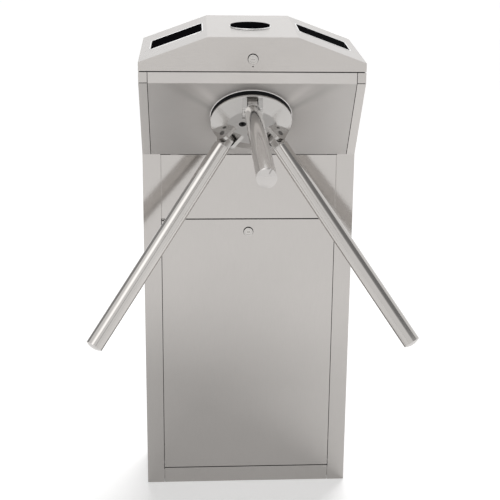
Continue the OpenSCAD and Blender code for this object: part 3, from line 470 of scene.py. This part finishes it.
def new_piece(name, bm, mat, body):
    """Makes an object of a bmesh, which rides on a body and wears the material it is given."""
    mesh = bpy.data.meshes.new(name)
    bmesh.ops.recalc_face_normals(bm, faces=bm.faces)
    bm.to_mesh(mesh)
    bm.free()
    for f in mesh.polygons:
        f.use_smooth = True
    o = bpy.data.objects.new(name, mesh)
    scene.collection.objects.link(o)
    mesh.materials.append(mat)
    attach(o, body)


def closed_strip(path, profile, place):
    """Sweeps a closed profile round a closed path, which has positions and their outward directions."""
    bm = bmesh.new()
    rings = []
    for at, out in path:
        rings.append([bm.verts.new(place @ (at + out * a + Vector((0, 0, b)))) for a, b in profile])
    n, m = len(rings), len(profile)
    for i in range(n):
        for j in range(m):
            a, b = rings[i], rings[(i + 1) % n]
            bm.faces.new((a[j], b[j], b[(j + 1) % m], a[(j + 1) % m]))
    return bm


def round_rect(w, d, r, steps=7):
    """A rectangle with round corners, as positions with their outward directions."""
    path = []
    for sx, sy, start in ((1, 1, 0), (-1, 1, 90), (-1, -1, 180), (1, -1, 270)):
        c = Vector((sx * (w / 2 - r), sy * (d / 2 - r), 0))
        for k in range(steps + 1):
            a = math.radians(start + 90 * k / steps)
            out = Vector((math.cos(a), math.sin(a), 0))
            path.append((c + out * r, out))
    return path


def half_round(width, height):
    """A low half-round strip section with its foot just under the sheet."""
    points = [(-width / 2, -TRIM_SUNK), (-width / 2, height * TRIM_UPRIGHT)]
    for k in range(1, 6):
        a = math.radians(30 * k)
        lift = TRIM_UPRIGHT + (1 - TRIM_UPRIGHT) * math.sin(a)
        points.append((-width / 2 * math.cos(a), height * lift))
    points += [(width / 2, height * TRIM_UPRIGHT), (width / 2, -TRIM_SUNK)]
    return points


def window_place(side):
    """The middle of a window on the lid, with X down the slope. The left one mirrors the right."""
    place = Matrix.Translation((LID_FLAT, HEAD_Y + WINDOW_BACK, TOP_Z))
    place = place @ Matrix.Rotation(LID_SLOPE, 4, "Y")
    place = place @ Matrix.Translation((SLOPE_LEN / 2 - WINDOW_IN, 0, 0))
    return place if side > 0 else Matrix.Diagonal((-1, 1, 1, 1)) @ place


def circle(radius, steps):
    """A circle, as positions with their outward directions."""
    path = []
    for k in range(steps):
        out = Vector((math.cos(math.tau * k / steps), math.sin(math.tau * k / steps), 0))
        path.append((out * radius, out))
    return path


def on_front(y, z):
    """A place on an upright sheet that faces the passage, with Z out of the sheet."""
    return Matrix.Translation((0, y, z)) @ Matrix.Rotation(math.radians(90), 4, "X")


def trims():
    """Pale beads round the black windows and the lens, and round each lock a dark ring that paints shade over
    it.
    """
    for side, name in ((1, "right_window_bead"), (-1, "left_window_bead")):
        path = round_rect(WINDOW.x + 5 * TRIM_OFF, WINDOW.y + 5 * TRIM_OFF, WINDOW_R + 2 * TRIM_OFF)
        strip = closed_strip(path, half_round(*WINDOW_BEAD), window_place(side))
        new_piece(name, strip, bead_metal, "lid_leaf")
    place = Matrix.Translation((0, HEAD_Y + LENS_BACK, TOP_Z))
    strip = closed_strip(circle(LENS_R + TRIM_OFF, LENS_STEPS), half_round(*LENS_BEAD), place)
    new_piece("lens_bead", strip, bead_metal, "lid_leaf")
    for name, y, z, body in (
        ("lid_lock_shade_ring", HEAD_Y, LID_LOCK_Z, "lid_leaf"),
        ("door_lock_shade_ring", PEDESTAL_Y, DOOR_LOCK_Z, "door_leaf"),
    ):
        # It sits a little high, so it shows as a dark crescent over the lock: a painted shade
        path = circle(LOCK_R - SHADE_RING_IN, SHADE_RING_STEPS)
        strip = closed_strip(path, half_round(*SHADE_RING), on_front(y, z + TRIM_OFF))
        new_piece(name, strip, rubber, body)


def rivet():
    """The small dark rivet under the lid lock: a turned head with a broken rim."""
    place = on_front(HEAD_Y, LID_LOCK_Z - RIVET_DROP)
    bm = bmesh.new()
    top = bm.verts.new(place @ Vector((0, 0, RIVET_OUTLINE[0][1])))
    rings = []
    for r, z in RIVET_OUTLINE[1:]:
        ring = [out * r + Vector((0, 0, z)) for _, out in circle(1.0, RIVET_STEPS)]
        rings.append([bm.verts.new(place @ point) for point in ring])
    for k in range(RIVET_STEPS):
        j = (k + 1) % RIVET_STEPS
        bm.faces.new((top, rings[0][k], rings[0][j]))
        for a, b in zip(rings, rings[1:]):
            bm.faces.new((a[k], b[k], b[j], a[j]))
    bm.faces.new(reversed(rings[-1]))
    new_piece("lid_lock_rivet", bm, oxide, "lid_leaf")


# Stage: floor, world, lamps and cards

# The floor's own light for the camera and the metal, which brings it to white, and the world's light
FLOOR_GLOW = 0.42
FLOOR_HALF = 20.0
WORLD_FILL = 0.35
SUN_FROM = (0.15, 0.75, 0.95)
SUN_POWER = 1.6
SUN_SPREAD = math.radians(35)
# The cards stand this far from the middle of the lower arms
ARMS_MIDDLE = Vector((0.0, -0.27, 0.6))
CARD_REACH = 8.0


def floor():
    """A pale floor that is white to the camera and the metal, and keeps the object's shadow."""
    mesh = bpy.data.meshes.new("floor")
    bm = bmesh.new()
    bmesh.ops.create_grid(bm, x_segments=1, y_segments=1, size=FLOOR_HALF)
    bm.to_mesh(mesh)
    bm.free()
    o = bpy.data.objects.new("floor", mesh)
    scene.collection.objects.link(o)
    s = Shader("floor_paint")
    tone = s.noise(s.place(), 2.0, 3.0)
    s.link(s.mix(tone, (0.78, 0.78, 0.78), (0.82, 0.82, 0.82)), s.bsdf.inputs["Base Color"])
    s.bsdf.inputs["Roughness"].default_value = 0.9
    s.bsdf.inputs["Specular IOR Level"].default_value = 0.1
    path = s.node("ShaderNodeLightPath")
    glow = s.node("ShaderNodeEmission")
    glow.inputs["Color"].default_value = (1, 1, 1, 1)
    seen = s.math("MAXIMUM", path.outputs["Is Camera Ray"], path.outputs["Is Glossy Ray"])
    seen = s.math("MAXIMUM", seen, path.outputs["Is Transmission Ray"])
    s.link(s.math("MULTIPLY", seen, FLOOR_GLOW), glow.inputs["Strength"])
    add = s.node("ShaderNodeAddShader")
    s.link(s.bsdf.outputs[0], add.inputs[0])
    s.link(glow.outputs[0], add.inputs[1])
    s.link(add.outputs[0], s.out.inputs["Surface"])
    mesh.materials.append(s.mat)


def world():
    """Even light, and plain white for the camera, the metal and the glass."""
    w = bpy.data.worlds.new("world")
    scene.world = w
    w.use_nodes = True
    t = w.node_tree
    bg = t.nodes["Background"]
    out = t.nodes["World Output"]
    seen = t.nodes.new("ShaderNodeBackground")
    seen.inputs["Color"].default_value = (1, 1, 1, 1)
    seen.inputs["Strength"].default_value = 1.0
    bg.inputs["Color"].default_value = (1.0, 0.995, 0.985, 1)
    bg.inputs["Strength"].default_value = WORLD_FILL
    path = t.nodes.new("ShaderNodeLightPath")
    first = t.nodes.new("ShaderNodeMath")
    first.operation = "MAXIMUM"
    t.links.new(path.outputs["Is Camera Ray"], first.inputs[0])
    t.links.new(path.outputs["Is Glossy Ray"], first.inputs[1])
    either = t.nodes.new("ShaderNodeMath")
    either.operation = "MAXIMUM"
    t.links.new(first.outputs[0], either.inputs[0])
    t.links.new(path.outputs["Is Transmission Ray"], either.inputs[1])
    mix = t.nodes.new("ShaderNodeMixShader")
    t.links.new(either.outputs[0], mix.inputs[0])
    t.links.new(bg.outputs[0], mix.inputs[1])
    t.links.new(seen.outputs[0], mix.inputs[2])
    t.links.new(mix.outputs[0], out.inputs["Surface"])


def lamp(name, size, power, at, to, colour):
    """A rectangular lamp that shines from one point towards another, and that the metal doesn't mirror."""
    data = bpy.data.lights.new(name, "AREA")
    data.shape = "RECTANGLE"
    data.size, data.size_y = size
    data.energy = power
    data.color = colour
    o = bpy.data.objects.new(name, data)
    o.location = at
    o.rotation_euler = (Vector(to) - Vector(at)).to_track_quat("-Z", "Y").to_euler()
    scene.collection.objects.link(o)
    o.visible_glossy = False


def sun():
    """Soft light from high behind. The shadow falls towards the camera, where the metal mirrors it."""
    data = bpy.data.lights.new("sun", "SUN")
    data.energy = SUN_POWER
    data.angle = SUN_SPREAD
    o = bpy.data.objects.new("sun", data)
    o.rotation_euler = Vector(SUN_FROM).to_track_quat("Z", "Y").to_euler()
    scene.collection.objects.link(o)
    o.visible_glossy = False


def card(name, bearing, rise, size, tones, along=(0, 0, 1)):
    """A large card far from the object, seen only in reflections. Its tones run evenly from left to right.

    The bearing is measured to the right of the passage side and the rise over the horizon, both from
    the lower arms, in degrees. The card faces the arms, with its height as near as can be to a direction.
    """
    b, r = math.radians(bearing), math.radians(rise)
    back = Vector((math.cos(r) * math.sin(b), -math.cos(r) * math.cos(b), math.sin(r)))
    up = (Vector(along) - back * back.dot(Vector(along))).normalized()
    side = up.cross(back)
    at = ARMS_MIDDLE + back * CARD_REACH
    mesh = bpy.data.meshes.new(name)
    bm = bmesh.new()
    bmesh.ops.create_grid(bm, x_segments=1, y_segments=1, size=0.5)
    bmesh.ops.scale(bm, vec=(size[0], size[1], 1), verts=bm.verts)
    bm.to_mesh(mesh)
    bm.free()
    o = bpy.data.objects.new(name, mesh)
    o.matrix_world = Matrix([(side[k], up[k], back[k], at[k]) for k in range(3)] + [(0, 0, 0, 1)])
    scene.collection.objects.link(o)
    s = Shader(name + "_cloth")
    brightest = max(tones)
    s.bsdf.inputs["Base Color"].default_value = (0.01, 0.01, 0.01, 1)
    s.bsdf.inputs["Roughness"].default_value = 0.95
    s.bsdf.inputs["Emission Strength"].default_value = brightest
    split = s.node("ShaderNodeSeparateXYZ")
    s.link(s.place(), split.inputs[0])
    ramp = s.node("ShaderNodeValToRGB")
    s.link(s.remap(split.outputs["X"], -size[0] / 2, size[0] / 2, 0.0, 1.0), ramp.inputs["Fac"])
    stops = ramp.color_ramp.elements
    for k in range(len(tones) - 2):
        stops.new((k + 1) / (len(tones) - 1))
    for stop, tone in zip(stops, tones):
        stop.color = (tone / brightest, tone / brightest, tone / brightest, 1)
    s.link(ramp.outputs["Color"], s.bsdf.inputs["Emission Color"])
    mesh.materials.append(s.mat)
    o.visible_camera = False
    o.visible_diffuse = False
    o.visible_shadow = False
    o.visible_transmission = False


place_camera()
dress()
trims()
rivet()
floor()
world()
sun()
lamp("sheen", (1.6, 1.0), 18, (0.5, 1.5, 2.9), (0, -0.1, 0.9), (0.985, 0.99, 1.0))
card("upper_card", 50, 52.5, (10.8, 2.7), (1.0, 0.45, 0.25, 0.25, 0.25, 0.25, 0.25))
card("line_card", 27, 27, (0.9, 5.0), (0.5, 0.5), (0.425, 0.565, 0.662))
card("rear_card", -136, 21, (5.8, 7.2), (0.3, 0.36))
card("bright_card", -40, 60, (5.4, 7.2), (1.1, 1.6, 2.0, 1.8, 1.1), (0, 0.67, 0.74))

scene.view_settings.view_transform = "Standard"
